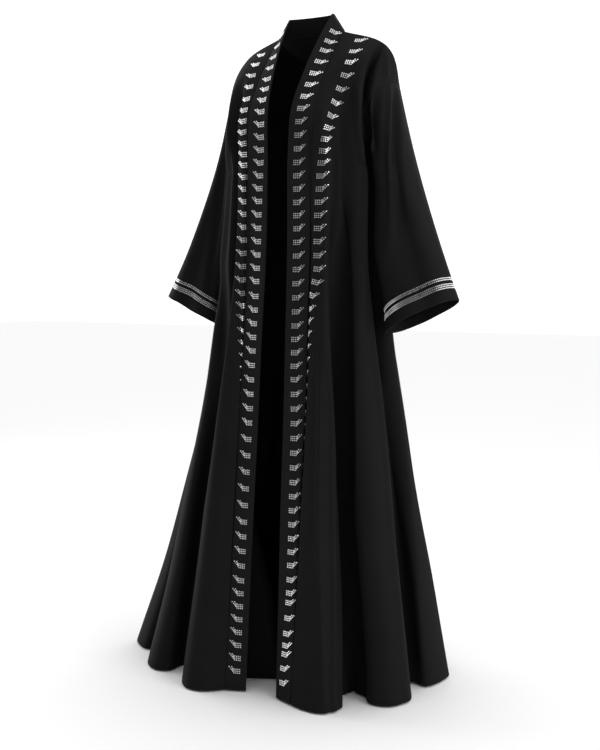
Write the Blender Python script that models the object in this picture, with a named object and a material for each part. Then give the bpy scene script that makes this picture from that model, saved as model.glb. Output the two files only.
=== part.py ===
"""An open-front black abaya cloak, held in the shape in which it hangs when it is worn.

Units are metres and +Z is up.  The origin lies midway between the shoulders, level with the
foot of the neck, in the plane of the shoulder seams.  The front faces -Y, and +X is the
wearer's left.  The cloth is a wall of even thickness.  Every cut piece is a closed solid of
its own, and neighbours stand SEAM_GAP apart along their seam.
"""
import math

import bmesh
import bpy
import numpy as np

# ---------------------------------------------------------------- sizes
NAME = "abaya_cloak"
HEM_Z = -1.420             # the hem is level all round
ARMPIT_Z = -0.295
CLOTH = 0.0020             # wall of every piece
SEAM_GAP = 0.0003          # between two pieces along a seam

NECK_HALF_WIDTH = 0.079    # foot of the neck, at the shoulder seams
NECK_BACK_DEPTH = 0.066    # how far the back neck lies behind the shoulder seams
NECK_BACK_RISE = 0.012     # and how much higher than the shoulder seams it is
COLLAR_HALF_WIDTH = 0.053  # top edge of the standing band, at its corners
COLLAR_BACK_DEPTH = 0.050
COLLAR_CORNER_RISE = 0.039
COLLAR_BACK_RISE = 0.050

# outer end of the dropped shoulder seam
SHOULDER_TIP = {"left": (0.200, 0.012, -0.120), "right": (0.192, 0.012, -0.127)}
ARMPIT = (0.166, 0.000, ARMPIT_Z)
ARMHOLE_FRONT = 0.076      # how far the armhole reaches forward of its middle
ARMHOLE_BACK = 0.072
ARMHOLE_SHIFT = (-0.012, 0.000, 0.018)   # its front and back lie nearer the neck than its middle

# the end of each cuff next to the body, and its far end
CUFF_INNER = {"left": (0.220, -0.078, -0.646), "right": (0.224, -0.014, -0.650)}
CUFF_OUTER = {"left": (0.359, -0.016, -0.580), "right": (0.374, -0.016, -0.580)}
CUFF_HALF_DEPTH = 0.044
CUFF_FRONT_LIFT = 0.016    # the front edge of the cuff rides higher than the back edge
SLEEVE_HOLLOW = 0.012      # the outer line of the sleeve dips in by this at half its length
SLEEVE_BOW = 0.016         # and the whole sleeve swings back by this
SLEEVE_TILT = (0.8, 0.3)   # out and up: how the sleeve's outer line faces
SLEEVE_FOLD_FADE = 0.5     # share of its length over which a sleeve fold grows

YOKE_SHARE = 0.30          # the back lies close to the shoulder line over this share of its armhole
CORNER_REACH = 0.55        # how square the plan of the skirt is: handle over quarter width
FOLD_FADE = 0.12           # height over which a fold starts softly
SHARP_EDGE = 50            # degrees: only the cut edges shade sharp
ROUGHNESS = 0.75

# ---------------------------------------------------------------- mesh counts
ARMHOLE_ROWS = 6           # rows from the shoulder seam to the armpit
SKIRT_ROWS = 13            # rows from the armpit to the hem
FRONT_COLUMNS = 31
NECK_COLUMNS = 6           # more columns on the back, which start at the neck
BACK_COLUMNS = FRONT_COLUMNS + NECK_COLUMNS
BAND_COLUMNS = 3
SLEEVE_ROWS = 13
SAMPLES = 161              # points on a fine curve before it is spaced evenly

# ---------------------------------------------------------------- tables
# The front band from the shoulder to the armpit: its seam with the front and its free edge.
# share, 0 at the shoulder seam and 1 at the armpit; seam x, y, z; edge x, y, z
BAND_TOP = (
    (0.00, 0.0790, 0.0000, 0.0000, 0.0530, 0.0000, 0.0390),
    (0.25, 0.0800, -0.0520, -0.0600, 0.0460, -0.0480, -0.0210),
    (0.50, 0.0800, -0.1000, -0.1250, 0.0370, -0.1000, -0.1000),
    (0.75, 0.0790, -0.1360, -0.1950, 0.0280, -0.1400, -0.1850),
    (1.00, 0.0770, -0.1440, -0.2950, 0.0240, -0.1480, -0.2950),
)
# Levels below the armpit: band seam, band edge, both side seams and the back.
LEVEL_COLUMNS = ("z", "seam_x", "seam_y", "edge_x", "edge_y",
                 "left_x", "left_y", "right_x", "right_y", "back_y")
LEVELS = (
    (-0.295, 0.0770, -0.1440, 0.0240, -0.1480, 0.166, 0.000, 0.166, 0.000, 0.104),
    (-0.470, 0.0770, -0.1460, 0.0260, -0.1520, 0.182, -0.010, 0.186, -0.010, 0.096),
    (-0.660, 0.0780, -0.1600, 0.0290, -0.1660, 0.210, -0.022, 0.226, -0.022, 0.098),
    (-0.850, 0.0790, -0.1780, 0.0310, -0.1800, 0.238, -0.012, 0.268, -0.032, 0.108),
    (-1.030, 0.0800, -0.1980, 0.0330, -0.1950, 0.263, 0.008, 0.316, -0.045, 0.118),
    (-1.200, 0.0810, -0.2150, 0.0350, -0.2080, 0.287, 0.035, 0.364, -0.060, 0.128),
    (-1.420, 0.0820, -0.2380, 0.0375, -0.2220, 0.314, 0.070, 0.440, -0.080, 0.140),
)
# Folds of each half: where the hem passes, in plan.
# share, 0 at the band seam, 1 at the side seam and 2 at the centre back; hem x, y;
# z where it begins; power, which is higher where it deepens later
LEFT_FOLDS = (
    (0.00, 0.0820, -0.2380, -0.70, 1.0),
    (0.10, 0.1250, -0.2490, -0.40, 1.0),
    (0.19, 0.1630, -0.2410, -0.35, 1.0),
    (0.27, 0.1850, -0.1880, -0.30, 1.0),
    (0.35, 0.1650, -0.1150, -0.30, 0.9),
    (0.43, 0.1990, -0.1400, -0.30, 1.0),
    (0.52, 0.2380, -0.1560, -0.35, 1.0),
    (0.62, 0.2780, -0.1360, -0.45, 1.0),
    (0.70, 0.2920, -0.0880, -0.50, 1.1),
    (0.78, 0.2620, -0.0320, -0.55, 1.1),
    (0.88, 0.3020, -0.0100, -0.55, 1.1),
    (1.00, 0.3200, 0.0660, -0.60, 1.0),
    (1.14, 0.2640, 0.0860, -0.55, 1.2),
    (1.28, 0.2600, 0.1500, -0.50, 1.0),
    (1.43, 0.2000, 0.0980, -0.50, 1.2),
    (1.57, 0.1720, 0.1700, -0.45, 1.0),
    (1.71, 0.1140, 0.1120, -0.50, 1.2),
    (1.85, 0.0620, 0.1660, -0.50, 1.0),
    (2.00, 0.0000, 0.1240, -0.50, 1.2),
)
RIGHT_FOLDS = (
    (0.00, 0.0820, -0.2380, -0.70, 1.0),
    (0.08, 0.1220, -0.2680, -0.40, 1.0),
    (0.15, 0.1650, -0.2680, -0.35, 1.0),
    (0.21, 0.1930, -0.2320, -0.35, 1.0),
    (0.26, 0.1580, -0.1980, -0.40, 1.1),
    (0.31, 0.1050, -0.1720, -0.45, 1.2),
    (0.36, 0.0560, -0.1560, -0.45, 1.3),
    (0.40, 0.0190, -0.1310, -0.45, 1.3),
    (0.43, 0.0180, -0.1020, -0.45, 1.3),
    (0.47, 0.0600, -0.0960, -0.45, 1.3),
    (0.52, 0.1220, -0.1180, -0.45, 1.2),
    (0.57, 0.1800, -0.1500, -0.45, 1.1),
    (0.62, 0.2320, -0.1950, -0.45, 1.0),
    (0.68, 0.2800, -0.2200, -0.45, 1.0),
    (0.75, 0.3300, -0.1860, -0.50, 1.0),
    (0.82, 0.3340, -0.1280, -0.50, 1.1),
    (0.91, 0.3900, -0.1240, -0.50, 1.0),
    (1.00, 0.4400, -0.0800, -0.60, 1.0),
    (1.14, 0.3560, -0.0050, -0.55, 1.2),
    (1.28, 0.3260, 0.0800, -0.50, 1.0),
    (1.43, 0.2460, 0.0520, -0.50, 1.2),
    (1.57, 0.2060, 0.1400, -0.45, 1.0),
    (1.71, 0.1300, 0.0960, -0.50, 1.2),
    (1.85, 0.0760, 0.1640, -0.50, 1.0),
    (2.00, 0.0000, 0.1240, -0.50, 1.2),
)
# Upper sections, as handles of a cubic from the inner end (band seam or centre back) to the
# armhole: share, 0 at the shoulder seam and 1 at the armpit; inner x, y, z; outer x, y, z
FRONT_HANDLES = (
    (0.00, 0.057, 0.000, -0.023, 0.010, -0.006, 0.104),
    (0.30, 0.055, -0.012, -0.014, -0.020, -0.020, 0.050),
    (0.60, 0.050, -0.006, -0.006, -0.014, -0.034, 0.010),
    (1.00, 0.049, 0.000, 0.000, 0.000, -0.079, 0.000),
)
BACK_HANDLES = (
    (0.00, 0.070, 0.020, 0.010, -0.040, 0.000, 0.080),
    (0.30, 0.080, 0.006, 0.000, -0.030, 0.016, 0.046),
    (0.60, 0.085, 0.002, 0.000, -0.020, 0.018, 0.010),
    (1.00, 0.091, 0.000, 0.000, 0.000, 0.057, 0.000),
)
# The centre back seam above the armpit level: share, y, z
BACK_MIDDLE = (
    (0.00, NECK_BACK_DEPTH, NECK_BACK_RISE),
    (0.30, 0.0920, -0.0750),
    (0.60, 0.1060, -0.1650),
    (1.00, 0.1040, ARMPIT_Z),
)
# Soft folds along the sleeve: turn in degrees from the outer line towards the front;
# half width in degrees; height; share of the sleeve's length where it begins
SLEEVE_FOLDS = (
    (60.0, 30.0, 0.006, 0.15),
    (90.0, 30.0, -0.006, 0.05),
    (120.0, 30.0, 0.003, 0.25),
    (210.0, 30.0, -0.006, 0.10),
    (240.0, 30.0, 0.005, 0.20),
    (300.0, 30.0, -0.006, 0.15),
)

COLOURS = {
    "front": (0.010, 0.010, 0.011),
    "back": (0.009, 0.009, 0.010),
    "sleeve": (0.011, 0.011, 0.012),
    "band": (0.013, 0.013, 0.014),
}


# ---------------------------------------------------------------- curves
def curve_through(knots, values, at):
    """Smooth curve through rows of values, as a cubic with averaged slopes."""
    knots = np.asarray(knots, float)
    values = np.asarray(values, float)
    at = np.atleast_1d(at)
    step = np.diff(knots)
    rise = np.diff(values, axis=0) / step[:, None]
    slope = np.empty_like(values)
    slope[0] = rise[0]
    slope[-1] = rise[-1]
    ahead = step[:-1, None]
    behind = step[1:, None]
    slope[1:-1] = (rise[:-1] * behind + rise[1:] * ahead) / (ahead + behind)
    index = np.clip(np.searchsorted(knots, at, side="right") - 1, 0, len(step) - 1)
    width = step[index][:, None]
    x = ((at - knots[index]) / step[index])[:, None]
    start = (1 + 2 * x) * (1 - x) ** 2 * values[index] + x * (1 - x) ** 2 * width * slope[index]
    end = x * x * (3 - 2 * x) * values[index + 1] - x * x * (1 - x) * width * slope[index + 1]
    return start + end


def table_row(table, at):
    """One smooth row of a table whose first column is its knot."""
    rows = np.asarray(table, float)
    if rows[0, 0] > rows[-1, 0]:
        rows = rows[::-1]
    return curve_through(rows[:, 0], rows[:, 1:], at)[0]


def cubic(start, handle_in, handle_out, end, share):
    """Bezier cubic; the handles are given from their own ends."""
    start, end = np.asarray(start, float), np.asarray(end, float)
    first, second = start + handle_in, end + handle_out
    share = np.asarray(share)[:, None]
    rest = 1 - share
    return rest**3 * start + 3 * rest**2 * share * first + 3 * rest * share**2 * second + share**3 * end


def spaced_evenly(points, count):
    """The same curve with its points at equal distances."""
    length = np.r_[0, np.cumsum(np.linalg.norm(np.diff(points, axis=0), axis=1))]
    at = np.linspace(0, length[-1], count)
    return np.stack([np.interp(at, length, points[:, k]) for k in range(3)], axis=1)


def smooth_step(x):
    x = np.clip(x, 0, 1)
    return x * x * (3 - 2 * x)


# ---------------------------------------------------------------- the upper body
def armhole(side, turn, back=False):
    """Point on an armhole, drawn as the left one: turn 0 at the shoulder tip, pi at the armpit."""
    tip, pit = np.array(SHOULDER_TIP[side]), np.array(ARMPIT)
    depth = ARMHOLE_BACK if back else -ARMHOLE_FRONT
    sweep = math.sin(turn)
    return ((tip + pit) / 2 + (tip - pit) / 2 * math.cos(turn)
            + np.array([0, depth * sweep, 0]) + np.array(ARMHOLE_SHIFT) * sweep**2)


def neck_foot(share):
    """Seam between the back and the standing band: 0 at the centre back, 1 at the shoulder."""
    turn = np.asarray(share) * math.pi / 2
    return np.stack([NECK_HALF_WIDTH * np.sin(turn), NECK_BACK_DEPTH * np.cos(turn),
                     NECK_BACK_RISE * np.cos(turn)], axis=1)


def neck_top(share):
    """Free top edge of the standing band."""
    turn = np.asarray(share) * math.pi / 2
    rise = COLLAR_CORNER_RISE + (COLLAR_BACK_RISE - COLLAR_CORNER_RISE) * np.cos(turn)
    return np.stack([COLLAR_HALF_WIDTH * np.sin(turn), COLLAR_BACK_DEPTH * np.cos(turn), rise],
                    axis=1)


def front_section(side, share, count):
    """Front, drawn as the left one, from the band seam to the armhole, above the armpit."""
    seam = table_row(BAND_TOP, share)[0:3]
    handles = table_row(FRONT_HANDLES, share)
    end = armhole(side, share * math.pi)
    return spaced_evenly(cubic(seam, handles[0:3], handles[3:6], end, np.linspace(0, 1, SAMPLES)),
                         count)


def back_section(side, share, count):
    """Back, drawn as the left one, from the centre back to the armhole, above the armpit."""
    middle = table_row(BACK_MIDDLE, share)
    handles = table_row(BACK_HANDLES, share)
    end = armhole(side, share * math.pi, back=True)
    section = spaced_evenly(cubic((0, middle[0], middle[1]), handles[0:3], handles[3:6], end,
                                  np.linspace(0, 1, SAMPLES)), count)
    neck = neck_foot(np.linspace(0, 1, NECK_COLUMNS + 1))
    shoulder = front_section(side, 0.0, count - NECK_COLUMNS)
    top = np.vstack([neck, shoulder[1:]])
    drop = np.linspace(section[0] - top[0], section[-1] - top[-1], count)
    blend = smooth_step(share / YOKE_SHARE)
    return (top + drop) * (1 - blend) + section * blend


# ---------------------------------------------------------------- the skirt
def level(z):
    return dict(zip(LEVEL_COLUMNS[1:], table_row(LEVELS, z)))


def ring_base(side, z, share):
    """Unfolded half ring, drawn as a left half: band seam 0, side seam 1, centre back 2."""
    sizes = level(z)
    seam = np.array([sizes["seam_x"], sizes["seam_y"], z])
    flank = np.array([sizes[side + "_x"], sizes[side + "_y"], z])
    middle = np.array([0, sizes["back_y"], z])
    at = np.linspace(0, 1, SAMPLES)
    front = spaced_evenly(cubic(seam, (CORNER_REACH * (flank[0] - seam[0]), 0, 0),
                                (0, CORNER_REACH * (seam[1] - flank[1]), 0), flank, at), SAMPLES)
    back = spaced_evenly(cubic(flank, (0, CORNER_REACH * (middle[1] - flank[1]), 0),
                               (CORNER_REACH * flank[0], 0, 0), middle, at), SAMPLES)
    ring = np.vstack([front, back[1:]])
    knots = np.linspace(0, 2, len(ring))
    return np.stack([np.interp(share, knots, ring[:, k]) for k in range(3)], axis=1)


def ring(side, z, share):
    """Half ring with its folds, which deepen from where each begins down to the hem."""
    folds = np.array(LEFT_FOLDS if side == "left" else RIGHT_FOLDS)
    knots, start, power = folds[:, 0], folds[:, 3], folds[:, 4]
    shift = folds[:, 1:3] - ring_base(side, HEM_Z, knots)[:, :2]
    grown = np.clip((start - z) / (start - HEM_Z), 0, 1) ** power
    grown *= smooth_step((start - z) / FOLD_FADE)
    points = ring_base(side, z, share)
    points[:, :2] += curve_through(knots, shift * grown[:, None], share)
    return points


def skirt_section(side, z, back, count):
    share = np.linspace(0, 1, SAMPLES * 2) + (1 if back else 0)
    return spaced_evenly(ring(side, z, share), count)


# ---------------------------------------------------------------- cut pieces, as outer grids
def armhole_shares():
    return np.linspace(0, 1, ARMHOLE_ROWS + 1)


def skirt_levels():
    return np.linspace(ARMPIT_Z, HEM_Z, SKIRT_ROWS + 1)[1:]


def mirrored(grid, side):
    return grid if side == "left" else grid * np.array([-1.0, 1.0, 1.0])


def front_grid(side):
    """Rows run from the band seam to the armhole and side seam."""
    upper = [front_section(side, share, FRONT_COLUMNS) for share in armhole_shares()]
    lower = [skirt_section(side, z, False, FRONT_COLUMNS) for z in skirt_levels()]
    return mirrored(np.array(upper + lower), side)


def back_grid(side):
    """Rows run from the centre back to the armhole and side seam."""
    upper = [back_section(side, share, BACK_COLUMNS) for share in armhole_shares()]
    lower = [skirt_section(side, z, True, BACK_COLUMNS)[::-1] for z in skirt_levels()]
    return mirrored(np.array(upper + lower), side)


def band_grid(side):
    """Rows run from the free edge to the band seam."""
    rows = []
    for share in armhole_shares():
        sizes = table_row(BAND_TOP, share)
        rows.append(np.linspace(sizes[3:6], sizes[0:3], BAND_COLUMNS + 1))
    for z in skirt_levels():
        sizes = level(z)
        edge = (sizes["edge_x"], sizes["edge_y"], z)
        seam = ring(side, z, np.array([0.0]))[0]
        rows.append(np.linspace(edge, seam, BAND_COLUMNS + 1))
    return mirrored(np.array(rows), side)


def neck_grid():
    """Rows run from the top edge to the foot, columns from the left shoulder to the right."""
    share = np.linspace(0, 1, NECK_COLUMNS + 1)
    foot, top = neck_foot(share)[::-1], neck_top(share)[::-1]
    rows = []
    for lower in np.linspace(0, 1, BAND_COLUMNS + 1):
        half = top + (foot - top) * lower
        rows.append(np.vstack([half, (half * np.array([-1.0, 1.0, 1.0]))[-2::-1]]))
    return np.array(rows)


def cuff(side, turn):
    """Point on a cuff's edge, drawn as the left one: turn 0 at its outer end, pi at its inner."""
    inner, outer = np.array(CUFF_INNER[side]), np.array(CUFF_OUTER[side])
    along = outer - inner
    across = np.cross(along / np.linalg.norm(along), (0, 0, 1))
    across /= np.linalg.norm(across)
    lift = np.array([0, 0, CUFF_FRONT_LIFT])
    return ((outer + inner) / 2 + along / 2 * math.cos(turn)
            + (across * CUFF_HALF_DEPTH + lift) * math.sin(turn))


def sleeve_point(side, turn, share):
    """Point on a sleeve, drawn as the left one: turn from the outer line over the front."""
    turn = turn % (2 * math.pi)
    is_back = turn > math.pi
    top = armhole(side, 2 * math.pi - turn if is_back else turn, back=is_back)
    low = cuff(side, turn)
    point = top + (low - top) * share
    swell = math.sin(math.pi * share)
    point[0] -= SLEEVE_HOLLOW * swell * max(0.0, math.cos(turn))
    point[1] += SLEEVE_BOW * swell
    outward = np.array([SLEEVE_TILT[0] * math.cos(turn), -math.sin(turn),
                        SLEEVE_TILT[1] * math.cos(turn)])
    for at, width, height, start in SLEEVE_FOLDS:
        away = abs((math.degrees(turn) - at + 180) % 360 - 180) / width
        grown = smooth_step((share - start) / SLEEVE_FOLD_FADE)
        point += outward * height * grown * math.cos(math.pi / 2 * min(1.0, away)) ** 2
    return point


def sleeve_grid(side):
    """Rows are rings from the armhole to the cuff, on the armhole's own rows."""
    turns = np.arange(2 * ARMHOLE_ROWS) * math.pi / ARMHOLE_ROWS
    rings = [[sleeve_point(side, turn, share) for turn in turns]
             for share in np.linspace(0, 1, SLEEVE_ROWS + 1)]
    return mirrored(np.array(rings), side)


# ---------------------------------------------------------------- walls
def grid_normals(grid, closed):
    """Normal at each point, pointing to the side from which rows x columns turn clockwise."""
    if closed:
        along = np.roll(grid, -1, axis=1) - np.roll(grid, 1, axis=1)
    else:
        along = np.gradient(grid, axis=1)
    down = np.gradient(grid, axis=0)
    normal = np.cross(along, down)
    return normal / np.linalg.norm(normal, axis=2, keepdims=True)


def edge_points(grid, closed):
    """Row and column of each point on the piece's cut edges."""
    rows, columns = grid.shape[:2]
    if closed:
        return [(row, column) for row in (0, rows - 1) for column in range(columns)]
    return [(row, column) for row in range(rows) for column in range(columns)
            if row in (0, rows - 1) or column in (0, columns - 1)]


def share_seam_normals(pieces):
    """Give every seam point one normal, the mean of those of the pieces that meet there."""
    spots = [(grid, normals, row, column) for grid, normals, closed in pieces.values()
             for row, column in edge_points(grid, closed)]
    points = np.array([grid[row, column] for grid, _, row, column in spots])
    vectors = np.array([normals[row, column] for _, normals, row, column in spots])
    apart = np.linalg.norm(points[:, None] - points[None], axis=2)
    total = (apart < SEAM_GAP / 10) @ vectors
    total /= np.linalg.norm(total, axis=1, keepdims=True)
    for (_, normals, row, column), normal in zip(spots, total):
        normals[row, column] = normal


def seam_inset(grid, closed):
    """Draws the cut edges in by half the seam gap, square to each edge."""
    moved = np.zeros_like(grid)
    half = SEAM_GAP / 2

    def pull(edge, inner):
        run = np.gradient(edge, axis=0)
        run /= np.linalg.norm(run, axis=1, keepdims=True)
        way = inner - edge
        way -= run * np.sum(way * run, axis=1, keepdims=True)
        return half * way / np.linalg.norm(way, axis=1, keepdims=True)

    moved[0] += pull(grid[0], grid[1])
    moved[-1] += pull(grid[-1], grid[-2])
    if not closed:
        moved[:, 0] += pull(grid[:, 0], grid[:, 1])
        moved[:, -1] += pull(grid[:, -1], grid[:, -2])
    return moved


def wall_faces(rows, columns, closed, points):
    """Triangles of a wall: both sides with the same diagonals, and the rims that join them."""
    count = rows * columns
    spans = columns if closed else columns - 1

    def number(row, column):
        return row * columns + column % columns

    faces = []
    for row in range(rows - 1):
        for column in range(spans):
            a, b = number(row, column), number(row, column + 1)
            c, d = number(row + 1, column + 1), number(row + 1, column)
            faces += [(a, b, c), (a, c, d)]
            faces += [(a + count, c + count, b + count), (a + count, d + count, c + count)]
    rims = [[(number(0, column), number(1, column)) for column in range(spans, -1, -1)],
            [(number(rows - 1, column), number(rows - 2, column)) for column in range(spans + 1)]]
    if not closed:
        last = columns - 1
        rims += [[(number(row, 0), number(row, 1)) for row in range(rows)],
                 [(number(row, last), number(row, last - 1)) for row in range(rows - 1, -1, -1)]]
    for rim in rims:
        for (a, inside), (b, _) in zip(rim[:-1], rim[1:]):
            way = points[inside] - points[a]
            first = points[a] + points[b + count]
            second = points[b] + points[a + count]
            if np.dot(first - second, way) > 0:
                faces += [(a, a + count, b + count), (a, b + count, b)]
            else:
                faces += [(a, a + count, b), (b, a + count, b + count)]
    return faces


def wall_object(name, grid, normals, closed, colour, collection):
    """Closed wall between a grid and the same grid moved inwards by the cloth."""
    outer = grid + seam_inset(grid, closed)
    inner = outer - normals * CLOTH
    points = np.vstack([outer.reshape(-1, 3), inner.reshape(-1, 3)])
    mesh = bpy.data.meshes.new(name)
    mesh.from_pydata(points.tolist(), [], wall_faces(*grid.shape[:2], closed, points))
    shell = bmesh.new()
    shell.from_mesh(mesh)
    bmesh.ops.recalc_face_normals(shell, faces=shell.faces)
    shell.to_mesh(mesh)
    shell.free()
    mesh.shade_smooth()
    mesh.set_sharp_from_angle(angle=math.radians(SHARP_EDGE))
    mesh.materials.append(cloth_material(name, colour))
    piece = bpy.data.objects.new(name, mesh)
    collection.objects.link(piece)
    return piece


def cloth_material(name, colour):
    material = bpy.data.materials.new(name + "_cloth")
    material.use_nodes = True
    shader = material.node_tree.nodes["Principled BSDF"]
    shader.inputs["Base Color"].default_value = (*colour, 1.0)
    shader.inputs["Roughness"].default_value = ROUGHNESS
    shader.inputs["Metallic"].default_value = 0.0
    return material


# ---------------------------------------------------------------- the garment
def cut_pieces():
    """Outer grid, outward normals and whether it is a tube, for each cut piece."""
    pieces = {}
    for side in ("left", "right"):
        turned = 1.0 if side == "left" else -1.0
        made = {"front_" + side: (front_grid(side), False, -turned),
                "back_" + side: (back_grid(side), False, turned),
                "band_" + side: (band_grid(side), False, -turned),
                "sleeve_" + side: (sleeve_grid(side), True, turned)}
        for name, (grid, closed, facing) in made.items():
            pieces[name] = (grid, grid_normals(grid, closed) * facing, closed)
    grid = neck_grid()
    pieces["band_neck"] = (grid, -grid_normals(grid, False), False)
    return pieces


def build():
    for thing in list(bpy.data.objects):
        bpy.data.objects.remove(thing)
    collection = bpy.data.collections.new(NAME)
    bpy.context.scene.collection.children.link(collection)
    pieces = cut_pieces()
    share_seam_normals(pieces)
    for name, (grid, normals, closed) in pieces.items():
        wall_object(name, grid, normals, closed, COLOURS[name.split("_")[0]], collection)


build()
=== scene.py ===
"""The looks of an open-front black abaya cloak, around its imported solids.

Each cut piece is a thin shell on its solid's form: the same sections and folds, read at finer
steps, with soft creases, seams drawn in, pressed lines, a turned-up hem and stitching.  Studs
stand in columns along both front edges and in rows round the cuffs.  Metres, +Z up, front to -Y.
"""
import math

import bmesh
import bpy
import numpy as np
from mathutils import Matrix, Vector
from mathutils.bvhtree import BVHTree
from mathutils.kdtree import KDTree


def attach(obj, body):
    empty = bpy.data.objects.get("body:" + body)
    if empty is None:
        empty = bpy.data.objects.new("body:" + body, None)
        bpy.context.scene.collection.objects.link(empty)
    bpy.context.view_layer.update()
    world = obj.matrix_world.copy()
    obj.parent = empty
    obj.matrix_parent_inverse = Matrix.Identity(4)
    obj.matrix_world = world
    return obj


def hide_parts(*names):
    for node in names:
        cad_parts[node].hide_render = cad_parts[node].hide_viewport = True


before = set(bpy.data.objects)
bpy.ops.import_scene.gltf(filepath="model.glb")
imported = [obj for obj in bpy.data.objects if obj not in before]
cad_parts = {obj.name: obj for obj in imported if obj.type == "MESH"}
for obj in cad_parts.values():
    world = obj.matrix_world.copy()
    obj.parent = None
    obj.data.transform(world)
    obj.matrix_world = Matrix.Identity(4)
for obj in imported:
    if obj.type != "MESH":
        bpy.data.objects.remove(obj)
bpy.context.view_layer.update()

# ---- sizes ----
HEM_Z = -1.420  # the hem is level all round
ARMPIT_Z = -0.295

# Lines round the neck: half width, depth behind the shoulder seams, rise there and at the centre back
NECK_FOOT = (0.079, 0.066, 0.0, 0.012)  # seam of the standing band
NECK_TOP = (0.053, 0.050, 0.039, 0.050)  # its free edge

# outer end of the dropped shoulder seam
SHOULDER_TIP = {"left": (0.200, 0.012, -0.120), "right": (0.192, 0.012, -0.127)}
ARMPIT = (0.166, 0.000, ARMPIT_Z)
ARMHOLE_FRONT = 0.076  # how far the armhole reaches forward of its middle
ARMHOLE_BACK = 0.072
ARMHOLE_SHIFT = (-0.012, 0.000, 0.018)  # its front and back lie nearer the neck than its middle

# the end of each cuff next to the body, and its far end
CUFF_INNER = {"left": (0.220, -0.078, -0.646), "right": (0.224, -0.014, -0.650)}
CUFF_OUTER = {"left": (0.359, -0.016, -0.580), "right": (0.374, -0.016, -0.580)}
CUFF_HALF_DEPTH = 0.044
CUFF_FRONT_LIFT = 0.016  # the front edge of the cuff rides higher than the back edge
SLEEVE_HOLLOW = 0.012  # the outer line of the sleeve dips in by this at half its length
SLEEVE_BOW = 0.016  # and the whole sleeve swings back by this
SLEEVE_TILT = (0.8, 0.3)  # out and up: how the sleeve's outer line faces
SLEEVE_FOLD_HALF = 30.0  # half width of a fold along the sleeve, in degrees
SLEEVE_FOLD_FADE = 0.5  # share of its length over which a sleeve fold grows

YOKE_SHARE = 0.30  # the back lies close to the shoulder line over this share of its armhole
CORNER_REACH = 0.55  # how square the plan of the skirt is: handle over quarter width
FOLD_FADE = 0.12  # height over which a fold starts softly

SAMPLES = 161  # points on a fine curve before it is spaced evenly

# ---- tables ----
# The front band from the shoulder to the armpit: its seam with the front and its free edge.
# share, 0 at the shoulder seam and 1 at the armpit; seam x, y, z; edge x, y, z
BAND_TOP = (
    (0.00, 0.079, 0.000, 0.000, 0.053, 0.000, 0.039),
    (0.25, 0.080, -0.052, -0.060, 0.046, -0.048, -0.021),
    (0.50, 0.080, -0.100, -0.125, 0.037, -0.100, -0.100),
    (0.75, 0.079, -0.136, -0.195, 0.028, -0.140, -0.185),
    (1.00, 0.077, -0.144, -0.295, 0.024, -0.148, -0.295),
)
# Levels below the armpit: z, then x and y of the band seam, the band edge, the left and the right
# side seam and the centre back
LEVELS = (
    (-0.295, 0.077, -0.144, 0.0240, -0.148, 0.166, 0.000, 0.166, 0.000, 0.0, 0.104),
    (-0.470, 0.077, -0.146, 0.0260, -0.152, 0.182, -0.010, 0.186, -0.010, 0.0, 0.096),
    (-0.660, 0.078, -0.160, 0.0290, -0.166, 0.210, -0.022, 0.226, -0.022, 0.0, 0.098),
    (-0.850, 0.079, -0.178, 0.0310, -0.180, 0.238, -0.012, 0.268, -0.032, 0.0, 0.108),
    (-1.030, 0.080, -0.198, 0.0330, -0.195, 0.263, 0.008, 0.316, -0.045, 0.0, 0.118),
    (-1.200, 0.081, -0.215, 0.0350, -0.208, 0.287, 0.035, 0.364, -0.060, 0.0, 0.128),
    (-1.420, 0.082, -0.238, 0.0375, -0.222, 0.314, 0.070, 0.440, -0.080, 0.0, 0.140),
)
# Folds of each half: where the hem passes, in plan.
# share, 0 at the band seam, 1 at the side seam and 2 at the centre back; hem x, y;
# z where it begins; power, which is higher where it deepens later
LEFT_FOLDS = (
    (0.00, 0.082, -0.238, -0.70, 1.0),
    (0.10, 0.125, -0.249, -0.40, 1.0),
    (0.19, 0.163, -0.241, -0.35, 1.0),
    (0.27, 0.185, -0.188, -0.30, 1.0),
    (0.35, 0.165, -0.115, -0.30, 0.9),
    (0.43, 0.199, -0.140, -0.30, 1.0),
    (0.52, 0.238, -0.156, -0.35, 1.0),
    (0.62, 0.278, -0.136, -0.45, 1.0),
    (0.70, 0.292, -0.088, -0.50, 1.1),
    (0.78, 0.262, -0.032, -0.55, 1.1),
    (0.88, 0.302, -0.010, -0.55, 1.1),
    (1.00, 0.320, 0.066, -0.60, 1.0),
    (1.14, 0.264, 0.086, -0.55, 1.2),
    (1.28, 0.260, 0.150, -0.50, 1.0),
    (1.43, 0.200, 0.098, -0.50, 1.2),
    (1.57, 0.172, 0.170, -0.45, 1.0),
    (1.71, 0.114, 0.112, -0.50, 1.2),
    (1.85, 0.062, 0.166, -0.50, 1.0),
    (2.00, 0.000, 0.124, -0.50, 1.2),
)
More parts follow.
